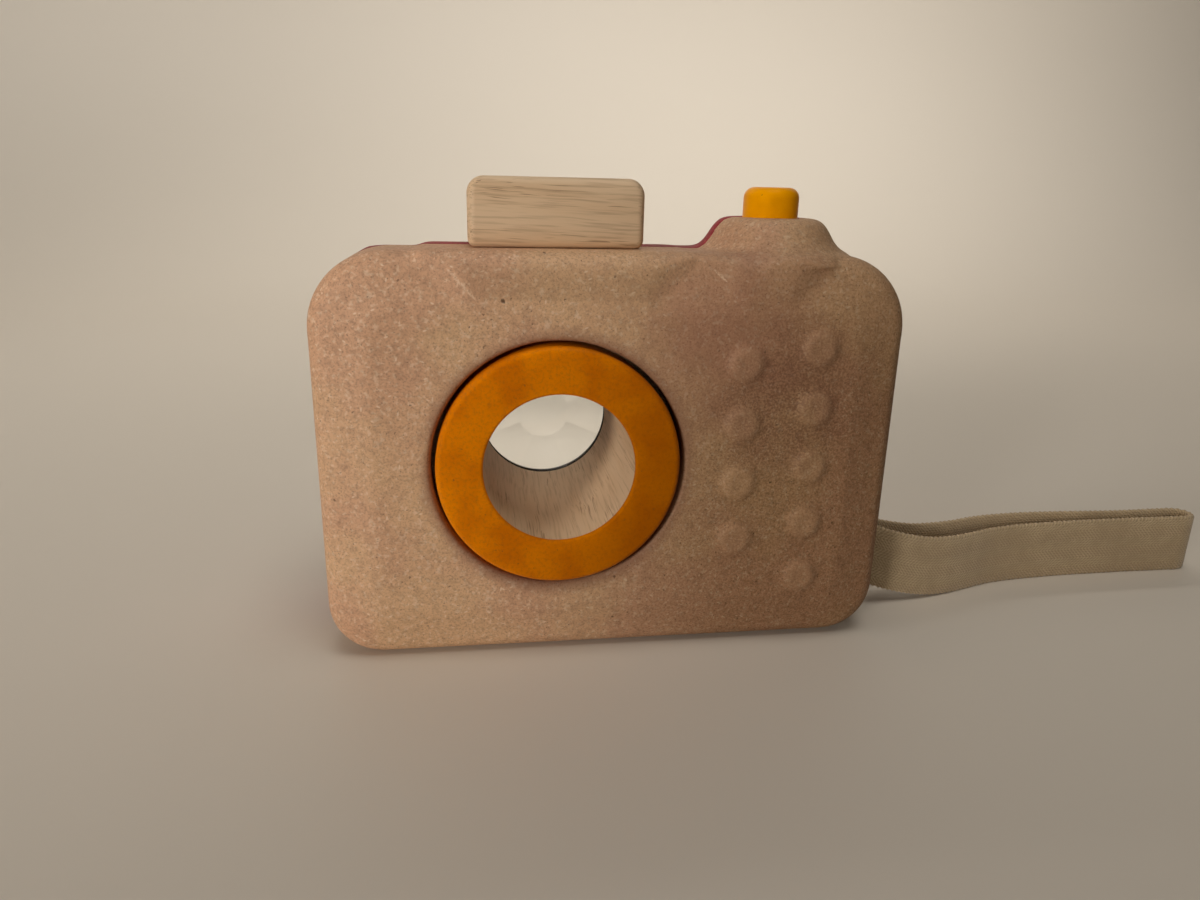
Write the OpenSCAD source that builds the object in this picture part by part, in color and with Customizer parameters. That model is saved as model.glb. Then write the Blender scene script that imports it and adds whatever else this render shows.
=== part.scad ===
// Toy camera for pretend play: two moulded half shells, a turned lens barrel
// that turns and can be looked through, a sprung shutter button, a solid
// viewfinder block and a wrist strap of cotton tape.
// Millimetres. X is to the right seen from the front, Y to the back, Z up.
// The origin is on the table, under the middle of the camera without its strap.

/* [Body] */
// Width of the body
body_w = 110; // [100:1:150]
// Height of the body without the hump, block and button
body_h = 77; // [74:1:110]
// Depth of the tan front half, from its face to the joint line
front_depth = 17.5; // [16:0.5:30]
// Depth of the red back half, from the joint line to its back
back_depth = 25; // [20:0.5:40]
// Radius of the top corners seen from the front
top_corner_r = 14; // [11:0.5:20]
// Radius of the bottom corners seen from the front
bottom_corner_r = 10.5; // [9.5:0.5:14]
// Width of the soft bevel round the front and back faces
bevel_w = 10.2; // [8:0.1:12]
// How far that bevel falls back from the face to the outline
bevel_fall = 2.3; // [1.5:0.1:4]
// Rounding between the bevel and the sides
edge_r = 4.4; // [3:0.1:5]
// How far the top of the back half falls from the joint line to its back
back_fall = 2; // [0.5:0.1:3]
// Wall of the sides, top, bottom and back
wall = 5.5; // [4:0.5:6.5]
// Wall of the front face, thicker because the lens turns in it
front_wall = 6.5; // [4:0.5:7.5]

/* [Lens] */
// Place of the lens axis to the right of the middle
lens_x = -11.1; // [-14:0.1:-4]
// Height of the lens axis over the middle of the body
lens_rise = 0.1; // [-2:0.1:3]
// How far the orange ring stands out of the front face
lens_proud = 1.5; // [0.5:0.1:4]
// Gap between the ring and the hole in the front half
ring_gap = 0.85; // [0.3:0.05:1.2]
// Diameter of the bore to look through
bore_d = 27.9; // [22:0.1:31]
// Width of the orange ring round the bore
ring_w = 8.55; // [7:0.05:9.5]
// Wall of the barrel behind the ring
barrel_wall = 5.05; // [4:0.05:6]
// How far the barrel ends before the back face
barrel_recess = 0.4; // [0.2:0.1:1]
// Thickness of the faceted lens
lens_t = 2; // [1.6:0.1:3]
// Width of the ledge that the faceted lens sits on
lens_ledge = 2; // [1.4:0.1:2.4]
// Diameter of the round facet in the middle of the lens
middle_facet_d = 11.6; // [8:0.1:14]
// Number of tilted facets round the middle
facet_count = 8; // [5:1:12]
// Thickness of the ring that holds the lens
retainer_t = 1; // [0.8:0.1:1.6]
// Thickness of the collar that keeps the barrel in
collar_t = 4.5; // [3:0.5:6]
// How far the collar reaches past the hole in the front wall
collar_lap = 2.5; // [2:0.05:3]
// Thickness of a felt washer
felt_t = 1; // [0.8:0.1:1.5]

/* [Viewfinder block] */
// Width of the block
block_w = 31.7; // [24:0.1:36]
// Height of the block
block_h = 12.2; // [9:0.1:18]
// Depth of the block
block_d = 20; // [14:0.5:24]
// Radius of the block's top corners
block_corner_r = 3; // [1.5:0.5:5]
// Rounding of the block's other edges
block_edge_r = 1.2; // [0.6:0.1:1.4]

/* [Raised pads] */
// How far the pads rise above the top of the body
pad_rise = 0.3; // [0.2:0.1:2]
// How far the pads' facets lie behind the front face
pad_sink = 0.1; // [0.05:0.05:0.5]
// How deep the pads' sloping corners run back
pad_slope_depth = 2; // [1:0.1:4]
// How far the pads reach behind the joint line
pad_back = 12; // [10.5:0.5:14]
// Width of the front facet of the pad under the block
block_pad_w = 32; // [26:0.5:40]
// Width of the sloping corners of the pad under the block
block_pad_slope = 8.5; // [4:0.5:9]
// Width of the front facet of the pad under the hump
hump_pad_w = 9; // [6:0.5:20]
// Width of the sloping corners of the pad under the hump
hump_pad_slope = 8; // [4:0.1:9]
// How far the pad under the hump lies to the right of the button
hump_pad_shift = -4.8; // [-6:0.1:1]

/* [Button] */
// Distance of the hump and button from the right side of the body
button_inset = 23.7; // [23:0.1:27]
// Diameter of the button
button_d = 10.6; // [9:0.1:12]
// How far the button still stands up over the hump when it is pressed
button_proud = 2.1; // [1.5:0.1:4]
// Rounding of the button's top edge
button_edge_r = 2; // [0.5:0.1:2.5]
// How far the button can be pressed
button_travel = 3.5; // [2:0.1:4]
// Gap between the button and its bore, and between its flange and the chamber
button_gap = 0.3; // [0.2:0.05:0.4]
// Width of the flange that keeps the button in
flange_w = 1.9; // [1.2:0.1:2.2]
// Thickness of that flange
flange_t = 3; // [2:0.1:3.2]
// Height of the hump over the body
hump_h = 6.1; // [4:0.1:9]
// Width of the flat rim on top of the hump, round the button
hump_rim_w = 1.7; // [1:0.1:2.4]
// Width of the hump's flare on each side
hump_flare_w = 7.6; // [6.5:0.1:8.5]
// Length of the straight stretch in the middle of the hump, front to back
hump_middle_len = 3; // [1:0.5:5]
// Free length of the spring under the button
spring_len = 14.6; // [12:0.1:16]
// Wire of the spring
spring_wire = 0.9; // [0.7:0.05:1.1]
// Outer diameter of the spring
spring_d = 10.2; // [9:0.1:10.6]
// Number of turns of the spring
spring_turns = 6; // [4:1:7]

/* [Grip bumps] */
// Diameter of a grip bump
bump_d = 7.6; // [6:0.1:9]
// Height of a grip bump over the front face
bump_h = 0.9; // [0.4:0.1:1.5]
// Diameter of the dish in the top of a grip bump
dish_d = 4.4; // [3:0.1:5]
// Depth of that dish
dish_depth = 0.3; // [0.1:0.05:0.4]
// Distance between the bumps of a column
bump_pitch = 11.4; // [10:0.1:12]
// Number of bumps in the left column
left_bumps = 4; // [1:1:4]
// Number of bumps in the right column
right_bumps = 5; // [1:1:5]
// Distance of the left column from the right side of the body
left_bump_inset = 31.9; // [29:0.1:34]
// Distance of the right column from the right side of the body
right_bump_inset = 18; // [16:0.1:20]
// Height of the lowest bump of the left column
left_bump_z = 23.3; // [16:0.1:24]
// Height of the lowest bump of the right column
right_bump_z = 14.8; // [13:0.1:16]

/* [Dowels and strap] */
// Diameter of the dowels between the halves
dowel_d = 5; // [4:0.5:6]
// Length of the dowels between the halves
dowel_len = 14; // [10:0.5:15]
// Wall of the bosses round those dowels
boss_wall = 2.5; // [2:0.1:3]
// Distance of those dowels from the sides, top and bottom of the body
dowel_inset = 11.8; // [11:0.1:13]
// Diameter of the dowels under the block
block_dowel_d = 6; // [4:0.5:7]
// Depth of the block's dowels in the body
block_dowel_depth = 4.4; // [3:0.1:5]
// Distance between the block's dowels
block_dowel_pitch = 18; // [14:0.5:20]
// Diameter of the pin that the strap loops round
pin_d = 4; // [3:0.1:4.5]
// Height of the strap's slot over the table
slot_z = 5.5; // [4.5:0.1:6.5]
// Width of the strap
strap_w = 14; // [12:0.5:14]
// Thickness of the strap
strap_t = 1.4; // [1:0.1:1.6]

/* [Hidden] */
$fn = 96;

// Fits: glued pieces, ends of dowels, running faces, the button at rest under
// its roof, the stub in the spring and the strap in its slot
glue_gap = 0.05;
end_gap = 0.1;
run_gap = 0.15;
bearing_gap = 0.3;
rest_gap = 0.1;
spring_gap = 0.4;
strap_gap = 0.5;

// How far cuts run past a face and ribs run into a wall, what is left of a corner
// inside its rounded rim. A bevel ends this far inside its arc and past its tangent.
over = 1;
root = 0.5;
rim_core = 0.3;
arc_lap = 0.05;
arc_lead = 8;

// Planes along the depth, from the front of the ring to the back of the body
total_depth = lens_proud + front_depth + back_depth;
ring_y = -total_depth / 2;
front_y = ring_y + lens_proud;
joint_y = front_y + front_depth;
far = 2 * (body_w + total_depth);

// Lens barrel, as depths behind the front of the ring
barrel_len = total_depth - barrel_recess;
inner_face_depth = lens_proud + front_wall;
collar_depth = inner_face_depth + felt_t + run_gap;
tube_depth = collar_depth + collar_t + run_gap + felt_t;
seat_depth = barrel_len - lens_t - retainer_t;
lens_z = body_h / 2 + lens_rise;
ring_d = bore_d + 2 * ring_w;
barrel_d = bore_d + 2 * barrel_wall;
hole_r = ring_d / 2 + ring_gap;
collar_r = hole_r + collar_lap;
seat_r = bore_d / 2 + lens_ledge;
tube_r = barrel_d / 2 + bearing_gap;
tube_wall = 3.7;
ring_edge_r = 1.2;
bore_bevel = 0.7;
hole_bevel = 0.6;
facet_drop = 1;
facet_step = 0.1;
facet_flare = 1.2;

// Heights of the top, from the pads to the button's chamber
pad_z = body_h + pad_rise;
pad_foot_z = body_h - bevel_w - edge_r;
hump_z = body_h + hump_h;
ceiling_z = body_h - wall;
chamber_roof = 1;
chamber_z = body_h - chamber_roof;
flange_top_z = chamber_z - rest_gap;
flange_z = flange_top_z - flange_t;
stub_len = 3.6;
stub_r = spring_d / 2 - spring_wire - spring_gap;
spring_z = flange_z - spring_len;
shelf_t = 3;
shelf_rim = 3;
shelf_w = spring_d + 2 * shelf_rim;
button_x = body_w / 2 - button_inset;
flange_d = button_d + 2 * flange_w;
bore_r = button_d / 2 + button_gap;
chamber_r = flange_d / 2 + button_gap;

// The hump's flank, as control points of one curve: half width and height.
// The shoulder and the toe are pulled from its two ends.
shoulder_pull = [4.5, 0.2];
toe_pull = [-3.8, 0.9];
hump_top_w = button_d + 2 * hump_rim_w;
hump_foot_w = hump_top_w + 2 * hump_flare_w;
hump_flank = [[hump_top_w / 2, hump_h], [hump_top_w / 2, hump_h] + shoulder_pull,
              [hump_foot_w / 2, 0] + toe_pull, [hump_foot_w / 2, 0]];
flank_steps = 14;
skirt = 2;
hump_setback = 0.3;

// Dowels between the halves: spare depth of their holes, height of the one under
// the spring's shelf and how far the one beside the strap stands from the pin
dowel_room = 1;
shelf_dowel_z = spring_z - shelf_t - dowel_d / 2 - boss_wall;
strap_dowel_reach = 16;

// Strap pin, strap slot and the strap's way round the pin
pin_inset = 3;
pin_x = body_w / 2 - wall - pin_inset;
pin_seat = 3;
strap_top_z = slot_z + strap_w + 2 * strap_gap;
bracket_t = 4;
bracket_w = 7;
wrap_r = pin_d / 2 + glue_gap + strap_t / 2;
slot_half = wrap_r + strap_t / 2 + strap_gap;

// Strap on the table, from the pin along the front run, round the fold at the far
// end and back to the pin: right of the body's side, behind the joint line, and
// height of the tape's lower edge
strap_route = [
    [3, -3, 5.4], [7, -3.2, 4], [11, -2.8, 2.7], [15, -2.2, 1.6], [20, -1.2, 0.6],
    [25, 0, 0.2], [31, 2, 0], [37, 4, 0], [44, 5.4, 0], [52, 6.2, 0],
    [60, 6.8, 0], [68, 7, 0], [76, 7.2, 0], [83, 7.2, 0], [89, 7.4, 0],
    [92.5, 8.4, 0], [93.6, 10, 0], [92.6, 11.6, 0], [89, 12.4, 0], [83, 12.4, 0],
    [76, 12.2, 0], [69, 12.4, 0], [61, 12.8, 0], [53, 13, 0], [45, 12.6, 0],
    [37, 11.4, 0], [30, 9.4, 0], [24, 8, 0.2], [19, 7, 0.6], [14, 6, 1.6],
    [10, 5, 2.7], [6.5, 3.8, 4], [3, 3, 5.4]];
wrap_steps = 8;

// Point of a curve with four control points
function curve(p, t) =
    pow(1 - t, 3) * p[0] + 3 * pow(1 - t, 2) * t * p[1]
    + 3 * (1 - t) * t * t * p[2] + pow(t, 3) * p[3];

// Point between p[1] and p[2] of a smooth line through four points
function between(p, t) =
    0.5 * (2 * p[1] + (p[2] - p[0]) * t
    + (2 * p[0] - 5 * p[1] + 4 * p[2] - p[3]) * t * t
    + (3 * p[1] - p[0] - 3 * p[2] + p[3]) * t * t * t);

// A length to the nearest thousandth, so that neighbouring sections meet exactly
function even(x) = round(1000 * x) / 1000;

// Section of an edge: radius from a corner's axis, then depth. The face ends in a
// bevel with a given width and slope, and an arc joins that bevel to the side.
module edge_section(r, depth, edge, bevel, slope) {
    tilt = atan(slope);
    arc_drop = even((bevel - edge) * slope + edge / cos(tilt));
    inner_r = edge - arc_lap;
    bevel_end = [even(inner_r * sin(tilt + arc_lead)), even(inner_r * cos(tilt + arc_lead))];
    intersection() {
        square([r, depth]);
        union() {
            polygon(concat([[0, 0], [r, 0], [r, depth - arc_drop]],
                           slope > 0
                           ? [[r - edge + bevel_end[0], depth - arc_drop + bevel_end[1]], [r - bevel, depth]]
                           : [[r - edge, depth]],
                           [[0, depth]]));
            translate([r - edge, depth - arc_drop]) circle(edge);
        }
    }
}

// Rounded slab standing on its long edge, with its far rim shaped by that section:
// width, height, depth, top and bottom corner radius, and what the section asks
module slab(w, h, depth, top_r, bottom_r, edge, bevel, slope) {
    reach = min(bevel, bottom_r - rim_core);
    for (side = [0, 1]) mirror([side, 0, 0]) {
        translate([w / 2 - top_r, h - top_r, 0])
            rotate_extrude(angle = 90) edge_section(top_r, depth, edge, reach, slope);
        translate([w / 2 - bottom_r, bottom_r, 0]) rotate([0, 0, -90])
            rotate_extrude(angle = 90) edge_section(bottom_r, depth, edge, reach, slope);
        translate([w / 2 - bottom_r, h - top_r, 0]) rotate([90, 0, 0])
            linear_extrude(h - top_r - bottom_r) edge_section(bottom_r, depth, edge, reach, slope);
    }
    translate([top_r - w / 2, h - top_r, 0]) rotate([90, 0, 90])
        linear_extrude(w - 2 * top_r) edge_section(top_r, depth, edge, reach, slope);
    translate([bottom_r - w / 2, bottom_r, 0]) mirror([0, 1, 0]) rotate([90, 0, 90])
        linear_extrude(w - 2 * bottom_r) edge_section(bottom_r, depth, edge, reach, slope);
    translate([bottom_r - w / 2, bottom_r, 0])
        cube([w - 2 * bottom_r, h - top_r - bottom_r, depth]);
}

// Outside of a half shell, without its pads, hump and bumps
module half_slab(depth) {
    slab(body_w, body_h, depth, top_corner_r, bottom_corner_r, edge_r, bevel_w, bevel_fall / bevel_w);
}

// Inside of a half shell: its outline drawn in by the wall, open at the joint line
module hollow(depth, end_wall) {
    w = body_w - 2 * wall;
    h = body_h - 2 * wall;
    top_r = top_corner_r - wall;
    bottom_r = bottom_corner_r - wall;
    translate([0, wall, 0]) linear_extrude(depth - end_wall) {
        translate([bottom_r - w / 2, 0]) square([w - 2 * bottom_r, h - top_r]);
        translate([-w / 2, bottom_r]) square([w, h - top_r - bottom_r]);
        translate([top_r - w / 2, bottom_r]) square([w - 2 * top_r, h - bottom_r]);
        for (side = [-1, 1]) {
            translate([side * (w / 2 - top_r), h - top_r]) circle(top_r);
            translate([side * (w / 2 - bottom_r), bottom_r]) circle(bottom_r);
        }
    }
}

// Turns a slab so that its depth runs forwards or backwards from the joint line
module forwards() { translate([0, joint_y, 0]) rotate([90, 0, 0]) children(); }
module backwards() { translate([0, joint_y, 0]) mirror([0, 1, 0]) rotate([90, 0, 0]) children(); }

// Puts a turned piece on the lens axis, with its depth from the front of the ring
module on_lens_axis(depth = 0) {
    translate([lens_x, ring_y + depth, lens_z]) rotate([-90, 0, 0]) children();
}

// Puts a turned piece on the button's axis at a height
module on_button_axis(z) { translate([button_x, joint_y, z]) children(); }

// Keeps what lies before or behind the joint line
module before_joint() {
    intersection() {
        children();
        translate([-far / 2, joint_y - far, -far / 2]) cube(far);
    }
}
module behind_joint() {
    intersection() {
        children();
        translate([-far / 2, joint_y, -far / 2]) cube(far);
    }
}

// Pad that grows out of the bevel: a front facet between two sloping corners, and
// a top rounded to the front and to the back
module pad(x, facet_w, slope, top_z) {
    pad_front = front_y + pad_sink;
    pad_end = joint_y + pad_back;
    half = facet_w / 2;
    intersection() {
        translate([x, 0, pad_foot_z]) linear_extrude(top_z - pad_foot_z + over)
            polygon([[-half, pad_front], [half, pad_front], [half + slope, pad_front + pad_slope_depth],
                     [half + slope, pad_end - pad_slope_depth], [half, pad_end],
                     [-half, pad_end], [-half - slope, pad_end - pad_slope_depth],
                     [-half - slope, pad_front + pad_slope_depth]]);
        translate([-far / 2, pad_front, 0]) rotate([90, 0, 90]) linear_extrude(far) union() {
            square([pad_end - pad_front, top_z - edge_r]);
            translate([edge_r, 0]) square([pad_end - pad_front - 2 * edge_r, top_z]);
            translate([edge_r, top_z - edge_r]) circle(edge_r);
            translate([pad_end - pad_front - edge_r, top_z - edge_r]) circle(edge_r);
        }
    }
}
module pads() {
    pad(lens_x, block_pad_w, block_pad_slope, pad_z);
    pad(button_x + hump_pad_shift, hump_pad_w, hump_pad_slope, body_h + pad_rise / 2);
}

// Hump under the button: a flared form with a short straight middle
module hump_section() {
    polygon(concat([[0, body_h - skirt], [hump_foot_w / 2 + skirt, body_h - skirt]],
                   [for (i = [flank_steps:-1:0])
                       let (p = curve(hump_flank, i / flank_steps)) [p[0], body_h + p[1]]],
                   [[0, hump_z]]));
}
module hump() {
    reach = joint_y - front_y - pad_sink - hump_setback;
    intersection() {
        union() {
            for (end = [-1, 1])
                translate([button_x, joint_y + end * hump_middle_len / 2, 0]) rotate([0, 0, 90 * end - 90])
                    rotate_extrude(angle = 180) hump_section();
            translate([button_x, joint_y + hump_middle_len / 2, 0]) rotate([90, 0, 0])
                linear_extrude(hump_middle_len)
                    union() {
                        hump_section();
                        mirror([1, 0]) hump_section();
                    }
        }
        translate([-far / 2, joint_y - reach, 0]) cube([far, 2 * reach, far]);
    }
}

// Places of the dowels between the halves: three corners, and beside the strap
module at_dowels() {
    side = body_w / 2 - dowel_inset;
    for (p = [[-side, body_h - dowel_inset], [side, shelf_dowel_z],
              [-side, dowel_inset], [pin_x - strap_dowel_reach, dowel_inset]])
        translate([p[0], joint_y, p[1]]) children();
}

// Bosses round those dowels, from the joint line to an end wall
module bosses(depth) {
    at_dowels() rotate([90, 0, 0]) cylinder(d = dowel_d + 2 * boss_wall, h = depth);
}

// What is cut out of both halves: dowel holes, button bore, strap slot and pin
module cuts() {
    at_dowels() rotate([90, 0, 0])
        cylinder(d = dowel_d + 2 * glue_gap, h = dowel_len + dowel_room, center = true);
    for (side = [-1, 1])
        translate([lens_x + side * block_dowel_pitch / 2, joint_y, pad_z - block_dowel_depth - end_gap])
            cylinder(d = block_dowel_d + 2 * glue_gap, h = far);
    on_button_axis(ceiling_z - over) cylinder(r = bore_r, h = far);
    on_button_axis(ceiling_z - over) cylinder(r = chamber_r, h = chamber_z - ceiling_z + over);
    translate([pin_x - slot_half, joint_y - slot_half, slot_z])
        cube([far, 2 * slot_half, strap_top_z - slot_z]);
    translate([pin_x, joint_y, slot_z - pin_seat])
        cylinder(d = pin_d + 2 * glue_gap, h = strap_top_z - slot_z + 2 * pin_seat);
}

// Ribs inside both halves: the shelf under the spring and the strap's bracket
module ribs() {
    translate([button_x - shelf_w / 2, joint_y - far / 2, spring_z - shelf_t])
        cube([shelf_w, far, shelf_t]);
    translate([pin_x - bracket_w / 2, joint_y - bracket_w, strap_top_z])
        cube([body_w / 2 - pin_x, 2 * bracket_w, bracket_t]);
}

// Grip bumps: low domes with a dish for the fingertip, in two columns. Each dome
// runs through the bump's foot and the dish's rim.
module bump() {
    foot_r = bump_d / 2;
    rim_r = dish_d / 2;
    dome_z = (rim_r * rim_r + bump_h * bump_h - foot_r * foot_r) / (2 * bump_h);
    dish_r = (rim_r * rim_r + dish_depth * dish_depth) / (2 * dish_depth);
    rotate([90, 0, 0]) difference() {
        intersection() {
            translate([0, 0, dome_z]) sphere(norm([foot_r, dome_z]));
            translate([0, 0, -over]) cylinder(d = bump_d, h = bump_h + 2 * over);
        }
        translate([0, 0, bump_h - dish_depth + dish_r]) sphere(dish_r);
    }
}
module bump_column(x, z, count) {
    for (i = [0:count - 1]) translate([x, front_y, z + i * bump_pitch]) bump();
}
module bumps() {
    bump_column(body_w / 2 - left_bump_inset, left_bump_z, left_bumps);
    bump_column(body_w / 2 - right_bump_inset, right_bump_z, right_bumps);
}

module front_shell() {
    color("#c79f78") difference() {
        union() {
            difference() {
                union() {
                    forwards() half_slab(front_depth);
                    before_joint() pads();
                    before_joint() hump();
                    bumps();
                }
                forwards() translate([0, 0, -over]) hollow(front_depth + over, front_wall);
            }
            intersection() {
                forwards() hollow(front_depth, front_wall - 2 * root);
                union() {
                    bosses(front_depth - front_wall + root);
                    ribs();
                }
            }
        }
        on_lens_axis(-over) cylinder(r = hole_r, h = inner_face_depth + 2 * over);
        on_lens_axis(lens_proud) cylinder(r1 = hole_r + hole_bevel, r2 = hole_r, h = hole_bevel);
        cuts();
    }
}

module back_shell() {
    color("#a3333a") difference() {
        union() {
            difference() {
                union() {
                    difference() {
                        backwards() half_slab(back_depth);
                        falling_top();
                    }
                    behind_joint() pads();
                    behind_joint() hump();
                }
                backwards() translate([0, 0, -over]) hollow(back_depth + over, wall);
            }
            intersection() {
                backwards() hollow(back_depth, wall - 2 * root);
                union() {
                    mirror_joint() bosses(back_depth - wall + root);
                    ribs();
                }
            }
            on_lens_axis(tube_depth)
                cylinder(r = tube_r + tube_wall, h = total_depth - wall / 2 - tube_depth);
        }
        on_lens_axis() cylinder(r = tube_r, h = total_depth + over);
        on_lens_axis(total_depth - hole_bevel)
            cylinder(r1 = tube_r, r2 = tube_r + hole_bevel, h = hole_bevel);
        cuts();
    }
}
// What is planed off the top of the back half, so that it falls to the back
module falling_top() {
    translate([-far / 2, joint_y, body_h]) rotate([90, 0, 90])
        linear_extrude(far)
            polygon([[0, 0], [back_depth + over, -back_fall * (1 + over / back_depth)],
                     [back_depth + over, over], [0, over]]);
}
module mirror_joint() {
    translate([0, joint_y, 0]) mirror([0, 1, 0]) translate([0, -joint_y, 0]) children();
}

module shell_dowels() {
    color("#d8bd94") at_dowels() rotate([90, 0, 0])
        cylinder(d = dowel_d, h = dowel_len, center = true);
}

module viewfinder_block() {
    base = pad_z + glue_gap;
    color("#dcbf97") difference() {
        translate([lens_x, 0, base]) for (half = [0, 1])
            translate([0, joint_y, 0]) mirror([0, half, 0]) rotate([90, 0, 0])
                slab(block_w, block_h, block_d / 2, block_corner_r, block_edge_r + rim_core,
                     block_edge_r, block_edge_r, 0);
        for (side = [-1, 1])
            translate([lens_x + side * block_dowel_pitch / 2, joint_y, base - over])
                cylinder(d = block_dowel_d + 2 * glue_gap, h = block_h / 2 + over);
    }
}

module viewfinder_dowels() {
    color("#d8bd94") for (side = [-1, 1])
        translate([lens_x + side * block_dowel_pitch / 2, joint_y, pad_z - block_dowel_depth])
            cylinder(d = block_dowel_d, h = block_dowel_depth + block_h / 2 - end_gap);
}

// The barrel is one turned piece: the painted ring, the tube that runs in the
// back half and the seat of the lens at its far end
module lens_barrel() {
    color("#e08a1c") on_lens_axis() rotate_extrude() union() {
        polygon([[bore_d / 2 + bore_bevel, 0], [ring_d / 2 - ring_edge_r, 0],
                 [ring_d / 2, ring_edge_r], [ring_d / 2, collar_depth],
                 [barrel_d / 2, collar_depth], [barrel_d / 2, barrel_len],
                 [seat_r, barrel_len], [seat_r, seat_depth],
                 [bore_d / 2, seat_depth], [bore_d / 2, bore_bevel]]);
        translate([ring_d / 2 - ring_edge_r, ring_edge_r]) circle(ring_edge_r);
    }
}

// A flat ring on the lens axis
module lens_ring(depth, inner_r, outer_r, t) {
    on_lens_axis(depth) difference() {
        cylinder(r = outer_r, h = t);
        translate([0, 0, -over]) cylinder(r = inner_r, h = t + 2 * over);
    }
}

module barrel_collar() {
    color("#c9a36f") lens_ring(collar_depth, barrel_d / 2 + glue_gap, collar_r, collar_t);
}

module barrel_felts() {
    color("#4a4a4a") {
        lens_ring(inner_face_depth, hole_r + bearing_gap, collar_r, felt_t);
        lens_ring(tube_depth - felt_t, tube_r, tube_r + tube_wall, felt_t);
    }
}

// The lens is flat in front; behind, tilted facets surround a round one
module prism_lens() {
    rim_r = seat_r - glue_gap;
    clear_r = bore_d / 2;
    color("#dfeaea", 0.5) on_lens_axis(seat_depth) {
        cylinder(r = rim_r, h = lens_t - facet_drop);
        difference() {
            cylinder(r = rim_r, h = lens_t);
            translate([0, 0, -over]) cylinder(r = clear_r, h = lens_t + 2 * over);
        }
        cylinder(d = middle_facet_d, h = lens_t);
        intersection() {
            cylinder(r = clear_r, h = lens_t);
            cylinder(r1 = clear_r * facet_flare, r2 = middle_facet_d / 2, h = lens_t - facet_step,
                     $fn = facet_count);
        }
    }
}

module lens_retainer() {
    color("#2f2f2f") lens_ring(seat_depth + lens_t, bore_d / 2, seat_r - glue_gap, retainer_t);
}

// The button is turned in one piece: cap, flange and the stub inside the spring
module shutter_button() {
    top = hump_z + button_proud + button_travel;
    flat_r = button_d / 2 - button_edge_r;
    color("#f0a41b") on_button_axis(0) rotate_extrude() union() {
        translate([0, flange_z]) square([button_d / 2, top - button_edge_r - flange_z]);
        translate([0, flange_z]) square([flat_r, top - flange_z]);
        translate([flat_r, top - button_edge_r]) circle(button_edge_r);
        translate([0, flange_z]) square([flange_d / 2, flange_t]);
        translate([0, flange_z - stub_len]) square([stub_r, stub_len]);
    }
}

// Coil spring between the shelf and the flange: one wire swept along a helix
spring_rings = 8 * spring_turns;
spring_sides = 6;
coil_r = (spring_d - spring_wire) / 2;
coil_rise = spring_len - spring_wire - 2 * glue_gap;
function coil_point(i, side) =
    let (turn = 360 * i / 8, around = 360 * side / spring_sides,
         r = coil_r + spring_wire / 2 * cos(around))
    [r * cos(turn), r * sin(turn),
     spring_wire / 2 + glue_gap + coil_rise * i / spring_rings + spring_wire / 2 * sin(around)];
echo(str("least gap between turns of the spring: ", coil_rise / spring_turns - spring_wire, " mm"));

module button_spring() {
    points = [for (i = [0:spring_rings]) for (s = [0:spring_sides - 1]) coil_point(i, s)];
    sides = [for (i = [0:spring_rings - 1]) for (s = [0:spring_sides - 1])
        let (a = i * spring_sides + s, b = i * spring_sides + (s + 1) % spring_sides)
        each [[a, b + spring_sides, b], [a, a + spring_sides, b + spring_sides]]];
    last = spring_rings * spring_sides;
    caps = [for (s = [1:spring_sides - 2]) each [[0, s, s + 1], [last, last + s + 1, last + s]]];
    color("#8f9499") on_button_axis(spring_z) polyhedron(points, concat(sides, caps));
}

module strap_pin() {
    color("#d8bd94") translate([pin_x, joint_y, slot_z - pin_seat + end_gap])
        cylinder(d = pin_d, h = strap_top_z - slot_z + 2 * (pin_seat - end_gap));
}

// Strap: a flat tape swept along its closed way round the pin and over the table
wrap = [for (i = [0:wrap_steps])
    let (a = 90 + 180 * i / wrap_steps)
    [pin_x + wrap_r * cos(a), joint_y + wrap_r * sin(a), slot_z + strap_gap]];
strap_loop = concat(wrap, [for (p = strap_route) p + [body_w / 2, joint_y, 0]]);
strap_count = len(strap_loop);
function strap_at(i) = strap_loop[(i + strap_count) % strap_count];
strap_line = [for (i = [0:strap_count - 1]) each
    i < wrap_steps
    ? [strap_at(i)]
    : [for (t = [0, 0.5]) between([strap_at(i - 1), strap_at(i), strap_at(i + 1), strap_at(i + 2)], t)]];
strap_rings = len(strap_line);
function strap_corner(i, across, up) =
    let (ahead = strap_line[(i + 1) % strap_rings], behind = strap_line[(i + strap_rings - 1) % strap_rings],
         d = ahead - behind, flat = sqrt(d[0] * d[0] + d[1] * d[1]))
    strap_line[i] + [across * strap_t / 2 * d[1] / flat, -across * strap_t / 2 * d[0] / flat,
                     up * strap_w];

module wrist_strap() {
    points = [for (i = [0:strap_rings - 1]) each
        [strap_corner(i, -1, 0), strap_corner(i, 1, 0), strap_corner(i, 1, 1), strap_corner(i, -1, 1)]];
    faces = [for (i = [0:strap_rings - 1]) for (s = [0:3])
        let (a = i * 4 + s, b = i * 4 + (s + 1) % 4, next = ((i + 1) % strap_rings) * 4,
             c = next + s, d = next + (s + 1) % 4)
        each [[a, b, d], [a, d, c]]];
    color("#d9cfbb") polyhedron(points, faces);
}

front_shell();
back_shell();
shell_dowels();
viewfinder_block();
viewfinder_dowels();
lens_barrel();
barrel_collar();
barrel_felts();
prism_lens();
lens_retainer();
shutter_button();
button_spring();
strap_pin();
wrist_strap();
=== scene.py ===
"""Toy camera: moulded shells, turned lens barrel, wood block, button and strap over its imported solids."""

import math

import bmesh
import bpy
from bpy.props import FloatProperty, FloatVectorProperty, IntProperty, PointerProperty
from mathutils import Matrix, Vector


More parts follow.
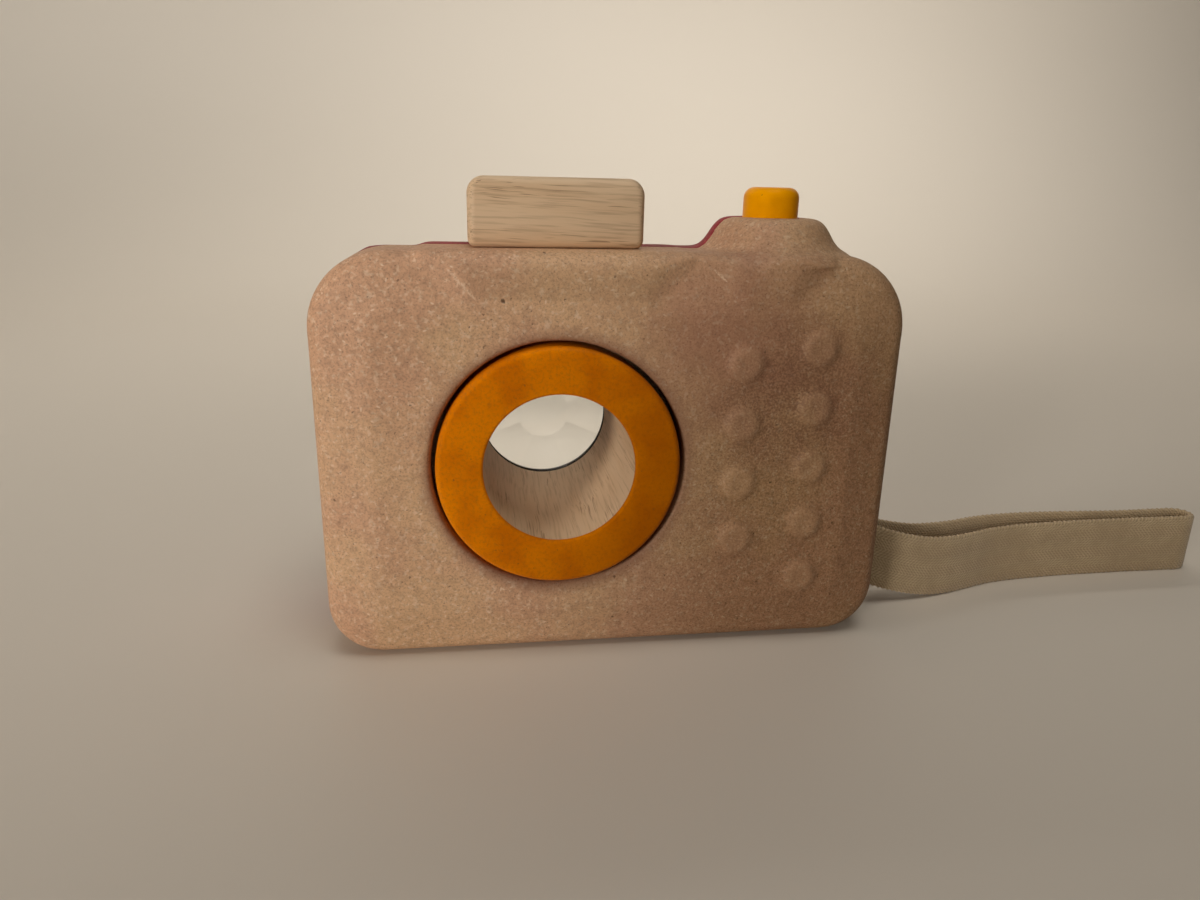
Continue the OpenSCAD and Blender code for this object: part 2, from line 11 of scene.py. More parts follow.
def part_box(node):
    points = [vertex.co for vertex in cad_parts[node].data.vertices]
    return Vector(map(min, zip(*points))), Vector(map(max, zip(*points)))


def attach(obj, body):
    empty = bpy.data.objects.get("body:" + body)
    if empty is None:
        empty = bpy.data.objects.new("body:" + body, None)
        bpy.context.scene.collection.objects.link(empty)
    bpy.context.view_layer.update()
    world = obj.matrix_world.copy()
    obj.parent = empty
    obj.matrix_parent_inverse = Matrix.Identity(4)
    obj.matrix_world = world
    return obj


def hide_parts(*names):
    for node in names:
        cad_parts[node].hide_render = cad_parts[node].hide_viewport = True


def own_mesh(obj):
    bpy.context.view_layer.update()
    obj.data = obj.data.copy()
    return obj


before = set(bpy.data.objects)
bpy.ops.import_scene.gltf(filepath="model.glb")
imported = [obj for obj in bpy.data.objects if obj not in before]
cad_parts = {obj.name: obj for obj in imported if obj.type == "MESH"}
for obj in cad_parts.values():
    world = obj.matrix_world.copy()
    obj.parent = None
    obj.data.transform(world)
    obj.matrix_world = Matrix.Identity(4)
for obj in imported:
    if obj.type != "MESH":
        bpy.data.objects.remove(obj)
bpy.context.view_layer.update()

bl_info = {
    "name": "Toy Camera",
    "version": (1, 0, 0),
    "blender": (4, 5, 0),
    "location": "View3D > Sidebar > Toy Camera",
    "description": "Builds the looks of a wooden toy camera round its packed solids",
    "category": "Object",
}

MM = 0.001
TURN = 2 * math.pi

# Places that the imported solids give
FRONT_LOW, FRONT_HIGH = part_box("front_shell")
BARREL_LOW, BARREL_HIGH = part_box("lens_barrel")
COLLAR_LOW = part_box("barrel_collar")[0]
GLASS_LOW, GLASS_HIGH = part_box("prism_lens")
RETAINER_LOW, RETAINER_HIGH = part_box("lens_retainer")
BLOCK_LOW, BLOCK_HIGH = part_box("viewfinder_block")
BUTTON_LOW, BUTTON_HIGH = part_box("shutter_button")
SPRING_LOW, SPRING_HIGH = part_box("button_spring")
PIN_LOW, PIN_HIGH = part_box("strap_pin")
BODY_SIDE = FRONT_HIGH.x
JOINT_Y = FRONT_HIGH.y
BARREL_AXIS = (BARREL_LOW + BARREL_HIGH) / 2
BUTTON_AXIS = (BUTTON_LOW + BUTTON_HIGH) / 2
PIN_AXIS = (PIN_LOW + PIN_HIGH) / 2
HOLE_REACH = (BARREL_HIGH.x - BARREL_LOW.x) / 2 + 0.85 * MM

# Sizes of the solids that their boxes don't give
BORE_RADIUS = 13.95 * MM
TUBE_RADIUS = 19 * MM
BUMP_RISE = 0.8 * MM
FINDING_SLACK = 0.02 * MM
WELD_DISTANCE = 0.001 * MM

# Left edges of the two pads, pale with wear and a painted highlight where they face the light: right of the
# middle and over the floor, in millimetres
PAD_EDGE_HIGHLIGHTS = (((-30.5, 74.3), (-25.6, 69)), ((16.2, 74.6), (18.8, 72.3)))

# Sides of the pad under the block, inside which its facet gets painted shade: a place and the way in, each
# right and up, and the fade, in millimetres
PAD_SHADE_SIDES = (
    (-25.5, 68.8, 0, 1, 0.5),
    (-25.5, 68.8, 8.1, 6.5, 0.8),
    (5.3, 68.7, -8, 6.7, 2.5),
    (0, 76.3, 0, -1, 2.5))


def srgb(code):
    """Linear colour of a six digit hex code."""
    parts = [int(code[i:i + 2], 16) / 255 for i in (0, 2, 4)]
    return tuple(p / 12.92 if p <= 0.04045 else ((p + 0.055) / 1.055) ** 2.4 for p in parts)


def length(name, description, default):
    """A size in metres that a user can change."""
    return FloatProperty(name=name, description=description, default=default,
                         min=0, precision=5, unit="LENGTH")


def position(name, description, millimetres):
    """A place that a user can change: right of the middle, behind it and over the floor."""
    return FloatVectorProperty(name=name, description=description, default=[v * MM for v in millimetres],
                               subtype="XYZ", unit="LENGTH")


def rounds(name, description, default):
    """A number of rounds of smoothing that a user can change."""
    return IntProperty(name=name, description=description, default=default, min=0)


def colour(name, description, code):
    """A colour that a user can change."""
    return FloatVectorProperty(name=name, description=description, default=srgb(code),
                               min=0, max=1, size=3, subtype="COLOR")


def angle(name, description, degrees):
    """An angle that a user can change."""
    return FloatProperty(name=name, description=description, default=math.radians(degrees), unit="ROTATION")


class ShellSettings(bpy.types.PropertyGroup):
    """Moulded wood composite of the two half shells."""

    front_grid: length("Front grid", "Spacing of the front half's softened mesh", 0.62 * MM)
    back_grid: length("Back grid", "Spacing of the back half's softened mesh", 0.7 * MM)
    crisp: rounds("Crisp rounds", "Rounds of smoothing everywhere but at the joint line", 1)
    soft: rounds("Soft rounds", "Further rounds on the bevels and plain faces", 5)
    tan: colour("Tan", "Ground colour of the front half", "d9af87")
    tan_patch: colour("Tan patches", "Pinker clouds in the front half", "d2a381")
    red: colour("Red", "Ground colour of the back half", "a02a35")
    red_patch: colour("Red patches", "Darker clouds in the back half", "8a2530")
    speck: colour("Specks", "Dark specks of bark", "4a2f1c")
    fleck: colour("Flecks", "Pale wood fibres in the front half", "f0d6b8")
    red_fleck: colour("Red flecks", "Dyed wood fibres in the back half", "c4625c")
    # The stain colour also gives the painted shade with dirt round the lens hole.
    stain: colour("Stain", "Handling stain between the grip bumps", "6f4636")
    stain_place: position("Stain place", "Middle of the handling stain", (31, -20.5, 50))
    stain_reach: length("Stain reach", "How far the handling stain reaches", 17 * MM)
    blush: colour("Blush", "Pinker cloud above the lens and bumps", "a8705c")
    blush_place: position("Blush place", "Middle of the pinker cloud", (20, -20.5, 62))
    blush_reach: length("Blush reach", "How far the pinker cloud reaches", 27 * MM)
    # The grip colour paints shade with some handling dirt on the held right side, and paints shade on the pad
    # under the block.
    grip: colour("Grip", "Brown of the side that is held", "7c5a36")
    grip_shade_place: position("Grip place", "Middle of the side that is held", (47.5, -10, 22))
    grip_shade_reach: length("Grip reach", "How far the held side reaches", 74 * MM)
    # Dirt and painted shade in the gap round the lens hole.
    rim_dirt_and_shade: length("Rim dirt", "How far the dirt round the lens hole reaches", 3.2 * MM)


class WoodSettings(bpy.types.PropertyGroup):
    """Natural and painted wood."""

    block_edge: length("Block edges", "Rounding of the block's edges", 1.5 * MM)
    block_corner: length("Block corners", "Radius of the block's top corners", 3 * MM)
    ring_edge: length("Ring edge", "Rounding of the painted ring's outer edge", 1.1 * MM)
    bore_edge: length("Bore edge", "Rounding where the ring meets the bore", 0.6 * MM)
    natural: colour("Natural wood", "Pale ground of the bare wood", "dfc19e")
    grain: colour("Grain", "Darker bands of the bare wood", "dab994")
    pore: colour("Pores", "Fine dark pore lines", "6e4c30")
    orange: colour("Orange", "Paint on the lens ring", "ec8600")
    # The two darker paint colours also give, at three tenths, the painted shade on the side of the ring and
    # the button away from the light.
    orange_dark: colour("Orange worn", "Darker clouds in the ring's paint", "cc6a00")
    yellow: colour("Yellow", "Paint on the shutter button", "fda700")
    yellow_dark: colour("Yellow worn", "Darker clouds in the button's paint", "e89400")


class LensSettings(bpy.types.PropertyGroup):
    """Clear faceted lens at the far end of the bore."""

    facets: IntProperty(name="Facets", description="Tilted facets round the middle one", default=8, min=3)
    middle: length("Middle facet", "Radius of the round facet in the middle", 5.8 * MM)
    drop: length("Facet drop", "How far the tilted facets fall towards the rim", 1.0 * MM)
    tint: colour("Tint", "Tint of the clear plastic", "fdfefc")
    black: colour("Black", "Ring that holds the lens", "1b1c1e")


class StrapSettings(bpy.types.PropertyGroup):
    """Woven cotton tape of the wrist strap."""

    width: length("Width", "Width of the tape", 14 * MM)
    thickness: length("Thickness", "Thickness of the tape", 1.4 * MM)
    step: length("Mesh step", "Spacing of the tape's mesh along its way", 0.33 * MM)
    scallop: length("Scallop", "How far the selvage swells at each weft thread", 0.12 * MM)
    pitch: length("Weft pitch", "Distance between the scallops of the selvage", 1.32 * MM)
    cotton: colour("Cotton", "Colour of the unbleached yarn", "ceb691")
    shade: colour("Yarn shade", "Colour between the yarns", "a48b69")


class StageSettings(bpy.types.PropertyGroup):
    """Camera, floor and light."""

    eye: position("Eye", "Where the camera stands", (-25.38, -168.8, 88.02))
    yaw: angle("Yaw", "Turn of the camera to the left", -8.34)
    pitch: angle("Pitch", "Tilt of the camera below the horizon", 17.14)
    roll: angle("Roll", "Turn of the camera about its own axis", 1.3)
    focal: FloatProperty(name="Focal length", description="Focal length on a sensor 36 mm wide",
                         default=25.57, unit="CAMERA")
    floor: colour("Floor", "Plain pale floor and backdrop", "d8cfc2")


class ToyCameraSettings(bpy.types.PropertyGroup):
    """Everything that can be set on the toy camera."""

    shells: PointerProperty(type=ShellSettings)
    wood: PointerProperty(type=WoodSettings)
    lens: PointerProperty(type=LensSettings)
    strap: PointerProperty(type=StrapSettings)
    stage: PointerProperty(type=StageSettings)


class Shader:
    """A node material under construction, on Object coordinates."""

    def __init__(self, name, roughness):
        self.material = bpy.data.materials.new(name)
        self.material.use_nodes = True
        self.tree = self.material.node_tree
        self.surface = self.tree.nodes["Principled BSDF"]
        self.surface.inputs["Roughness"].default_value = roughness
        self.coords = self.tree.nodes.new("ShaderNodeTexCoord").outputs["Object"]

    def feed(self, socket, value):
        """Links a socket, or sets it to a constant."""
        if isinstance(value, bpy.types.NodeSocket):
            self.tree.links.new(value, socket)
        elif socket.type == "RGBA" and len(value) == 3:
            socket.default_value = (*value, 1)
        else:
            socket.default_value = value

    def node(self, kind, inputs, **options):
        """A new node with its options and inputs set."""
        made = self.tree.nodes.new("ShaderNode" + kind)
        for name, value in options.items():
            setattr(made, name, value)
        for name, value in inputs.items():
            self.feed(made.inputs[name], value)
        return made

    def give(self, **inputs):
        """Sets inputs of the surface, with underscores for spaces."""
        for name, value in inputs.items():
            self.feed(self.surface.inputs[name.replace("_", " ")], value)

    def ragged(self, scale, reach):
        """Coordinates shaken by noise, so that what is drawn on them is ragged or wavy."""
        shake = self.node("TexNoise", {"Vector": self.coords, "Scale": scale}).outputs["Color"]
        made = self.node("VectorMath", {}, operation="MULTIPLY_ADD")
        for socket, value in zip(made.inputs, (shake, (reach, reach, reach), self.coords)):
            self.feed(socket, value)
        return made.outputs["Vector"]

    def stretched(self, factors, turn=(0, 0, 0), move=(0, 0, 0), coords=None):
        """Coordinates that draw a pattern out along its own axes, turned and moved."""
        inputs = {"Vector": coords or self.coords, "Scale": factors, "Rotation": turn, "Location": move}
        return self.node("Mapping", inputs, vector_type="TEXTURE").outputs["Vector"]

    def distance(self, place, axes=(1, 1, 1)):
        """Distance from a place, along some of the axes only."""
        flat = self.node("VectorMath", {}, operation="MULTIPLY")
        self.feed(flat.inputs[0], self.coords)
        self.feed(flat.inputs[1], axes)
        made = self.node("VectorMath", {}, operation="DISTANCE")
        self.feed(made.inputs[0], flat.outputs["Vector"])
        self.feed(made.inputs[1], [p * a for p, a in zip(place, axes)])
        return made.outputs["Value"]

    def beyond(self, place, way, fade):
        """Mask of the side of a plane that a way points to, fading in from a place on it."""
        made = self.node("VectorMath", {}, operation="DOT_PRODUCT")
        self.feed(made.inputs[0], self.coords)
        self.feed(made.inputs[1], way)
        start = place.dot(way)
        return self.ramp(made.outputs["Value"], start, start + fade)

    def noise(self, scale, detail=2.0, coords=None, rough=0.5):
        """Cloudy value from 0 to 1."""
        inputs = {"Vector": coords or self.coords, "Scale": scale, "Detail": detail, "Roughness": rough}
        return self.node("TexNoise", inputs).outputs["Fac"]

    def cells(self, scale, coords=None):
        """Distance to the nearest of scattered points, and that point's random value."""
        made = self.node("TexVoronoi", {"Vector": coords or self.coords, "Scale": scale})
        split = self.node("SeparateColor", {"Color": made.outputs["Color"]})
        return made.outputs["Distance"], split.outputs["Red"]

    def ramp(self, value, low, high, start=0.0, end=1.0):
        """Smooth step of a value between two limits."""
        inputs = {"Value": value, "From Min": low, "From Max": high, "To Min": start, "To Max": end}
        return self.node("MapRange", inputs, interpolation_type="SMOOTHSTEP").outputs["Result"]

    def math(self, operation, first, second=0.0):
        """Sum, product or other operation on two values."""
        made = self.node("Math", {}, operation=operation)
        self.feed(made.inputs[0], first)
        self.feed(made.inputs[1], second)
        return made.outputs["Value"]

    def times(self, *values):
        """Product of several values."""
        result = values[0]
        for value in values[1:]:
            result = self.math("MULTIPLY", result, value)
        return result

    def mix(self, share, first, second, blend="MIX"):
        """Two colours mixed by a share."""
        made = self.node("Mix", {}, data_type="RGBA", blend_type=blend)
        self.feed(made.inputs[0], share)
        self.feed(made.inputs[6], first)
        self.feed(made.inputs[7], second)
        return made.outputs[2]

    def specks(self, scale, size, share, coords=None):
        """Mask of scattered dots: their number per metre, their size in cells and the share that show."""
        distance, chance = self.cells(scale, coords)
        return self.times(self.ramp(distance, size, size * 0.5), self.ramp(chance, share, share - 0.05))

    def bump(self, height, depth, strength=1.0):
        """Fine relief of a height from 0 to 1 and a depth in metres."""
        made = self.node("Bump", {"Height": height, "Distance": depth, "Strength": strength})
        self.feed(self.surface.inputs["Normal"], made.outputs["Normal"])


def composite(name, ground, patch, fleck, settings):
    """Moulded wood composite: clouds, fine grain, pale fibres and ragged dark specks of four sizes."""
    s = Shader(name, 0.6)
    s.give(Specular_IOR_Level=0.3)
    clouds = s.ramp(s.noise(38, 3), 0.4, 0.62)
    tint = s.mix(clouds, ground, patch)
    grain = s.noise(2300, 3, rough=0.7)
    tint = s.mix(s.ramp(grain, 0.42, 0.75, 0.0, 0.42), tint, settings.speck)
    tint = s.mix(s.ramp(s.noise(1300, 2), 0.52, 0.72, 0.0, 0.4), tint, fleck)
    tint = s.mix(s.ramp(s.noise(620, 2), 0.45, 0.7, 0.0, 0.14), tint, settings.speck)
    for i, turn in enumerate((0.5, 1.7, 2.8)):
        fibres = s.stretched((2.6, 1, 1), turn=(0.3 * i, turn, 0.2), move=(0.01 * i, 0, 0))
        tint = s.mix(s.times(s.specks(800, 0.17, 0.2, fibres), 0.6), tint, fleck)
    shaken = s.ragged(1500, 0.9 * MM)
    bark = s.specks(300, 0.1, 0.12, shaken)
    kinds = [(s.specks(scale, size, share, shaken), depth) for scale, size, share, depth in
             ((1500, 0.22, 0.4, 0.5), (700, 0.16, 0.2, 0.6), (90, 0.05, 0.5, 0.85))]
    for mask, depth in (*kinds, (bark, 0.7)):
        tint = s.mix(s.times(mask, depth), tint, settings.speck)
    s.give(Roughness=s.ramp(grain, 0.3, 0.7, 0.55, 0.72))
    s.bump(s.math("SUBTRACT", grain, bark), 0.03 * MM, 0.4)
    return s, tint


def tan_composite(settings):
    """The front half's composite: a pinker cloud, a handling stain, painted shade with handling dirt on the
    held side and round the lens, painted shade on a pad, and worn edges with painted highlights.
    """
    s, tint = composite("tan_composite", settings.tan, settings.tan_patch, settings.fleck, settings)
    drift = s.math("SUBTRACT", s.noise(120, 3), 0.5)
    # Blotchy noise that breaks up the stain, the held side's painted shade and the pad edges' painted
    # highlights.
    dirt = s.noise(2400, 3, rough=0.75)
    face_on = (1, 0, 1)

    def around(place, reach, weight):
        """Cloud of a weight that fades out at its reach from a place."""
        edge = s.math("ADD", s.distance(place), s.times(drift, 1.2 * reach))
        return s.ramp(edge, reach, 0.2 * reach, 0.0, weight)

    def painted_light_and_wear(start, end):
        """Thin spindle between two places of the face, each right of the middle and over the floor."""
        ends = [Vector((x * MM, 0, z * MM)) for x, z in (start, end)]
        both = s.math("ADD", s.distance(ends[0], face_on), s.distance(ends[1], face_on))
        run = (ends[1] - ends[0]).length
        return s.times(s.ramp(both, run + 0.05 * MM, run), s.ramp(dirt, 0.6, 0.4, 0.05, 0.5))

    tint = s.mix(around(settings.blush_place, settings.blush_reach, 0.36), tint, settings.blush)
    # Painted shade with some handling dirt: the right side darkens towards the held side's middle.
    held_and_shaded = s.ramp(s.distance(settings.grip_shade_place, (1, 0.3, 0.8)),
                  settings.grip_shade_reach, 0.25 * settings.grip_shade_reach)
    shade_and_dirt_brown = [grip / (0.85 * tan) for grip, tan in zip(settings.grip, settings.tan)]
    tint = s.mix(s.times(held_and_shaded, s.ramp(dirt, 0.38, 0.62, 0.6, 0.85)), tint, shade_and_dirt_brown, "MULTIPLY")
    hands = around(settings.stain_place, settings.stain_reach, 0.6)
    tint = s.mix(s.times(hands, s.ramp(dirt, 0.4, 0.62, 0.2, 1.0)), tint, settings.stain)
    raised = s.ramp(s.distance(FRONT_LOW, (0, 1, 0)), BUMP_RISE, 0.3 * BUMP_RISE, 0.0, 0.13)
    tint = s.mix(raised, tint, settings.tan)
    # Painted shade on the facet of the pad under the block, in the grip colour.
    pad_shade = [s.beyond(Vector((x * MM, 0, z * MM)), Vector((right, 0, up)).normalized(), fade * MM)
           for x, z, right, up, fade in PAD_SHADE_SIDES]
    tint = s.mix(s.times(*pad_shade, 0.17), tint, settings.grip)
    # Painted highlight with some wear: pale lines along the pads' left edges, which face the light.
    for start, end in PAD_EDGE_HIGHLIGHTS:
        tint = s.mix(painted_light_and_wear(start, end), tint, settings.fleck)
    # Painted shade with dirt round the lens hole, in the stain colour.
    rim = s.ramp(s.math("ADD", s.distance(BARREL_AXIS, face_on), s.times(drift, 2 * MM)),
                 HOLE_REACH, HOLE_REACH + settings.rim_dirt_and_shade, 0.5, 0.0)
    s.give(Base_Color=s.mix(rim, tint, settings.stain))
    return s.material


def red_composite(settings):
    """The back half's composite, dyed red."""
    s, tint = composite("red_composite", settings.red, settings.red_patch, settings.red_fleck, settings)
    s.give(Base_Color=tint)
    return s.material


def bare_wood(name, settings, along, lean=0.0, run=60, shade_share=0.0):
    """Pale bare wood with soft bands and fine broken pore lines along one axis.

    It may lean, have longer pore lines by a larger run, and take painted shade as a share of the pores'
    colour mixed in all over.
    """
    s = Shader(name, 0.55)
    s.give(Specular_IOR_Level=0.3)
    wavy = s.ragged(45, 1.6 * MM)

    def along_grain(factor):
        """Coordinates drawn out along the grain, which waves a little."""
        factors = [factor if axis == along else 1 for axis in range(3)]
        return s.stretched(factors, turn=(0, lean, 0), coords=wavy)

    bands = s.noise(300, 3, along_grain(14))
    tint = s.mix(s.ramp(bands, 0.35, 0.65), settings.natural, settings.grain)
    fine = s.noise(2200, 2, along_grain(26))
    tint = s.mix(s.ramp(fine, 0.45, 0.75, 0.0, 0.3), tint, settings.pore)
    lines = s.noise(4200, 1, along_grain(run))
    breaks = s.noise(300, 1, along_grain(run / 12))
    pores = s.times(s.ramp(lines, 0.6, 0.68), s.ramp(breaks, 0.44, 0.56))
    tint = s.mix(s.times(pores, 0.55), tint, settings.pore)
    # Painted shade: a share of the pores' colour mixed in all over.
    s.give(Base_Color=s.mix(shade_share, tint, settings.pore))
    s.bump(s.math("SUBTRACT", bands, pores), 0.05 * MM, 0.4)
    return s.material


def paint(name, ground, dark, settings, gloss, grain, painted_light_and_wear):
    """Thin satin paint on turned wood: clouds, fine grain, a side darkened by painted shade and some handling
    dirt, and dots in the end grain.
    """
    near, far = 6 * MM, 46 * MM
    s = Shader(name, gloss)
    s.give(Specular_IOR_Level=0.2, Specular_Tint=(*ground, 1))
    clouds = s.ramp(s.noise(130, 3), 0.38, 0.68)
    tint = s.mix(s.times(clouds, 0.75), ground, dark)
    tint = s.mix(s.ramp(s.noise(1500, 3, rough=0.7), 0.42, 0.72, 0.0, grain), tint, settings.pore)
    # Painted shade with some handling dirt: the paint darkens towards the given side, away from the light.
    painted_shade_colour = [0.3 * part for part in dark]
    tint = s.mix(s.ramp(s.distance(painted_light_and_wear), far, near, 0.0, 0.58), tint, painted_shade_colour)
    dots = s.specks(700, 0.14, 0.3, s.ragged(1500, 0.9 * MM))
    tint = s.mix(s.times(dots, 0.55), tint, settings.pore)
    s.give(Base_Color=tint, Roughness=s.ramp(clouds, 0, 1, gloss - 0.05, gloss + 0.08))
    s.bump(s.math("SUBTRACT", s.noise(900, 2), dots), 0.03 * MM, 0.35)
    return s.material


def clear_plastic(settings):
    """Clear plastic of the faceted lens."""
    s = Shader("clear_lens", 0.02)
    s.give(Base_Color=settings.tint, Transmission_Weight=1.0, IOR=1.49)
    return s.material


def black_plastic(settings):
    """Moulded black plastic of the ring that holds the lens."""
    s = Shader("black_ring", 0.45)
    s.give(Base_Color=settings.black)
    s.bump(s.noise(2500, 1), 0.01 * MM, 0.4)
    return s.material


def felt():
    """Grey felt with loose fibres."""
    s = Shader("grey_felt", 0.95)
    fibres = s.noise(2200, 4, rough=0.8)
    s.give(Base_Color=s.mix(fibres, srgb("2f2f31"), srgb("6a6a6c")))
    s.bump(fibres, 0.2 * MM)
    return s.material


def steel():
    """Drawn spring wire."""
    s = Shader("spring_steel", 0.28)
    streaks = s.noise(900, 2)
    s.give(Base_Color=s.mix(streaks, srgb("8f949a"), srgb("b9bec3")), Metallic=1.0)
    return s.material


def cotton(settings):
    """Herringbone cotton tape: slanting yarns that turn back across its width."""
    s = Shader("cotton_tape", 0.9)
    along = s.node("Attribute", {}, attribute_name="along").outputs["Fac"]
    across = s.node("Attribute", {}, attribute_name="across").outputs["Fac"]
    yarn = 0.62 * MM
    stripe = settings.width / 6
    twill = settings.pitch / 1.5
    fold = s.math("PINGPONG", across, stripe)
    slant = s.math("SINE", s.math("MULTIPLY", s.math("ADD", along, fold), TURN / twill))
    ribs = s.math("SINE", s.math("MULTIPLY", across, TURN / yarn))
    relief = s.math("ADD", s.ramp(slant, -1, 1, 0.0, 0.6), s.ramp(ribs, -1, 1, 0.0, 0.4))
    fuzz = s.noise(1800, 3, rough=0.7)
    tint = s.mix(s.ramp(relief, -0.1, 0.9), settings.shade, settings.cotton)
    tint = s.mix(s.ramp(s.noise(90, 2), 0.35, 0.65, 0.0, 0.35), tint, settings.shade)
    tint = s.mix(s.ramp(s.noise(330, 2), 0.4, 0.65, 0.0, 0.22), tint, settings.shade)
    tint = s.mix(s.ramp(fuzz, 0.4, 0.65, 0.0, 0.3), tint, settings.shade)
    s.give(Base_Color=tint, Sheen_Weight=0.25, Sheen_Roughness=0.5)
    s.bump(s.math("ADD", relief, s.times(fuzz, 0.35)), 0.2 * MM, 0.5)
    return s.material


def finished(bm, name, body, replaced, material, smooth=40):
    """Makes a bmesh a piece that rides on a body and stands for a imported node."""
    mesh = bpy.data.meshes.new(name)
    bm.to_mesh(mesh)
    bm.free()
    piece = bpy.data.objects.new(name, mesh)
    bpy.context.scene.collection.objects.link(piece)
    mesh.materials.append(material)
    mesh.shade_smooth()
    mesh.set_sharp_from_angle(angle=math.radians(smooth))
    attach(piece, body)
    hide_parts(replaced)
    return piece


def only(kind, geom):
    """The elements of one kind among new geometry."""
    return [g for g in geom if isinstance(g, kind)]


def turned(profile, centre, axis, steps=128):
    """A turned piece: a closed profile of radius and distance along the axis, spun about it."""
    bm = bmesh.new()
    side = axis.orthogonal().normalized()
    corners = [bm.verts.new(centre + side * r + axis * d) for r, d in profile]
    edges = [bm.edges.new((a, b)) for a, b in zip(corners, corners[1:] + corners[:1])]
    bmesh.ops.spin(bm, geom=corners + edges, cent=centre, axis=axis, angle=TURN, steps=steps,
                   use_merge=True)
    bmesh.ops.recalc_face_normals(bm, faces=bm.faces)
    return bm


def rounded(bm, edges, width, segments):
    """Rounds some edges over a width."""
    bmesh.ops.bevel(bm, geom=edges, offset=width, segments=segments, profile=0.5, affect="EDGES", material=-1)


def round_loop(bm, centre, axis, radius, distance, width, segments=5):
    """Rounds the edge loop of a turned piece that lies at a radius and a distance along its axis."""
    def on_loop(vert):
        offset = vert.co - centre
        along = offset.dot(axis)
        apart = abs((offset - axis * along).length - radius)
        return abs(along - distance) < FINDING_SLACK and apart < FINDING_SLACK

    rounded(bm, [e for e in bm.edges if all(on_loop(v) for v in e.verts)], width, segments)


def detailed(place):
    """Whether a place of a shell carries small forms: bumps, lens hole, pads, hump top or strap slot."""
    bumps_left, bumps_low, bumps_high, bumps_depth = 17 * MM, 8 * MM, 67 * MM, 3 * MM
    hole_margin = 2 * MM
    pads_low, pads_depth = 62 * MM, 7 * MM
    hump_low = 79 * MM
    slot_reach, slot_high = 8 * MM, 27 * MM
    on_bumps = place.y < FRONT_LOW.y + bumps_depth and bumps_low < place.z < bumps_high
    offset = place - BARREL_AXIS
    at_slot = place.x > BODY_SIDE - slot_reach and place.z < slot_high
    return (on_bumps and place.x > bumps_left
            or math.hypot(offset.x, offset.z) < HOLE_REACH + hole_margin
            or place.z > pads_low and place.y < FRONT_LOW.y + pads_depth
            or place.z > hump_low
            or at_slot and abs(place.y - JOINT_Y) < slot_reach)


def softened(node, grid, settings):
    """A copy of a packed shell as an even mesh with softened edges, but crisp along the joint line."""
    bm = bmesh.new()
    bm.from_mesh(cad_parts[node].data)
    bmesh.ops.remove_doubles(bm, verts=bm.verts, dist=WELD_DISTANCE)
    mesh = bpy.data.meshes.new(node + "_draft")
    bm.to_mesh(mesh)
    bm.free()
    draft = bpy.data.objects.new(node + "_draft", mesh)
    bpy.context.scene.collection.objects.link(draft)
    remesh = draft.modifiers.new("Even mesh", "REMESH")
    remesh.mode = "VOXEL"
    remesh.voxel_size = grid
    soft = bmesh.new()
    soft.from_object(draft, bpy.context.evaluated_depsgraph_get())
    bpy.data.objects.remove(draft)
    bpy.data.meshes.remove(mesh)
    free = [v for v in soft.verts if abs(v.co.y - JOINT_Y) > 2 * grid]
    plain = [v for v in free if not detailed(v.co)]
    for verts in (free,) * settings.crisp + (plain,) * settings.soft:
        bmesh.ops.smooth_vert(soft, verts=verts, factor=0.5,
                              use_axis_x=True, use_axis_y=True, use_axis_z=True)
    return soft


